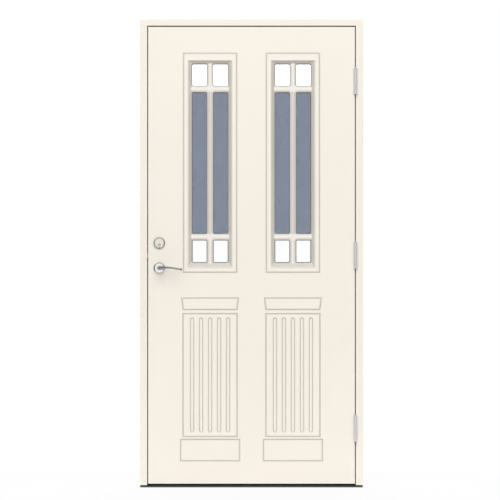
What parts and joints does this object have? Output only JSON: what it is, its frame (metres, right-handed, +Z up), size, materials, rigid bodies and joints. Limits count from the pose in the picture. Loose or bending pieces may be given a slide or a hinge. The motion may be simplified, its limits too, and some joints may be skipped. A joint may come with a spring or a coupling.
{
  "type": "front door",
  "caption": "Outward opening right hung front door in its frame, with tall glazed windows, fluted lower panels, lever handles, latch and deadbolt.",
  "frame": {"origin": "middle of the underside of the threshold, halfway through the frame's depth", "axes": "+Z up, -Y towards the outside, +X towards the hinges"},
  "size_m": [0.99, 0.188, 2.08],
  "materials": {
    "painted_frame": "satin",
    "painted_leaf": "satin",
    "painted_casing": "satin",
    "bare_timber": "matte",
    "insulation": "matte",
    "clear_glass": "gloss",
    "tinted_glass": "gloss",
    "spacer_aluminium": "satin",
    "threshold_aluminium": "satin",
    "hinge_steel": "satin",
    "zinc_steel": "satin",
    "polished_chrome": "polished",
    "brass": "satin",
    "black_rubber": "matte"
  },
  "bodies": {
    "frame": {"hinge_jamb": "painted_frame", "lock_jamb": "painted_frame", "frame_head": "painted_frame", "threshold_plate": "threshold_aluminium", "threshold_stop": "threshold_aluminium", "frame_seal": "black_rubber", "threshold_seal": "black_rubber", "frame_screws": "zinc_steel", "frame_sleeves": "zinc_steel", "strike_plate": "polished_chrome", "strike_screws": "zinc_steel", "lower_hinge_frame_leaf": "hinge_steel", "middle_hinge_frame_leaf": "hinge_steel", "upper_hinge_frame_leaf": "hinge_steel", "hinge_pins": "hinge_steel", "hinge_frame_screws": "hinge_steel"},
    "leaf": {"bottom_rail": "painted_leaf", "cylinder_body": "polished_chrome", "cylinder_ring": "polished_chrome", "forend_screws": "zinc_steel", "furniture_screws": "zinc_steel", "glazing_gaskets": "black_rubber", "grille_screws": "zinc_steel", "hinge_leaf_screws": "hinge_steel", "hinge_stile": "painted_leaf", "inner_lever_rose": "polished_chrome", "insulation_core": "insulation", "leaf_inner_skin": "painted_leaf", "leaf_outer_skin": "painted_leaf", "left_clear_panes": "clear_glass", "left_glazing_spacers": "spacer_aluminium", "left_inner_grille": "painted_casing", "left_outer_grille": "painted_casing", "left_tinted_pane": "tinted_glass", "left_window_liner": "bare_timber", "lock_case": "zinc_steel", "lock_case_cover": "zinc_steel", "lock_forend": "polished_chrome", "lock_stile": "painted_leaf", "lower_hinge_door_leaf": "hinge_steel", "middle_hinge_door_leaf": "hinge_steel", "outer_lever_rose": "polished_chrome", "right_clear_panes": "clear_glass", "right_glazing_spacers": "spacer_aluminium", "right_inner_grille": "painted_casing", "right_outer_grille": "painted_casing", "right_tinted_pane": "tinted_glass", "right_window_liner": "bare_timber", "thumbturn_rose": "polished_chrome", "top_rail": "painted_leaf", "upper_hinge_door_leaf": "hinge_steel"},
    "lever": {"outer_lever": "polished_chrome", "inner_lever": "polished_chrome", "spindle": "zinc_steel", "lever_follower": "zinc_steel"},
    "latch": {"latch_bolt": "brass"},
    "thumbturn": {"thumbturn": "polished_chrome", "deadbolt_cam": "zinc_steel"},
    "deadbolt": {"deadbolt": "brass"},
    "key": {"key_plug": "brass"}
  },
  "joints": [
    {"name": "leaf_swing", "type": "hinge", "parent": "frame", "child": "leaf", "pos_m": [0.462, -0.0615, 0], "axis": [0, 0, 1], "range_deg": [0, 110]},
    {"name": "lever_turn", "type": "hinge", "parent": "leaf", "child": "lever", "pos_m": [-0.41, 0, 0.976], "axis": [0, 1, 0], "range_deg": [0, 45], "stiffness_Nm_per_rad": 1.5, "springref_deg": -28.65},
    {"name": "latch_slide", "type": "slide", "parent": "leaf", "child": "latch", "axis": [1, 0, 0], "range_m": [0, 0.013]},
    {"name": "thumbturn_turn", "type": "hinge", "parent": "leaf", "child": "thumbturn", "pos_m": [-0.41, 0, 1.079], "axis": [0, 1, 0], "range_deg": [0, 90]},
    {"name": "deadbolt_slide", "type": "slide", "parent": "leaf", "child": "deadbolt", "axis": [-1, 0, 0], "range_m": [0, 0.02]},
    {"name": "key_turn", "type": "hinge", "parent": "leaf", "child": "key", "pos_m": [-0.41, 0, 1.079], "axis": [0, 1, 0], "range_deg": [0, 90]}
  ],
  "couplings": [
    {"joint": "latch_slide", "follows": "lever_turn", "m_per_rad": 0.016552},
    {"joint": "deadbolt_slide", "follows": "thumbturn_turn", "m_per_rad": 0.012732},
    {"joint": "key_turn", "follows": "thumbturn_turn", "ratio": 1}
  ]
}
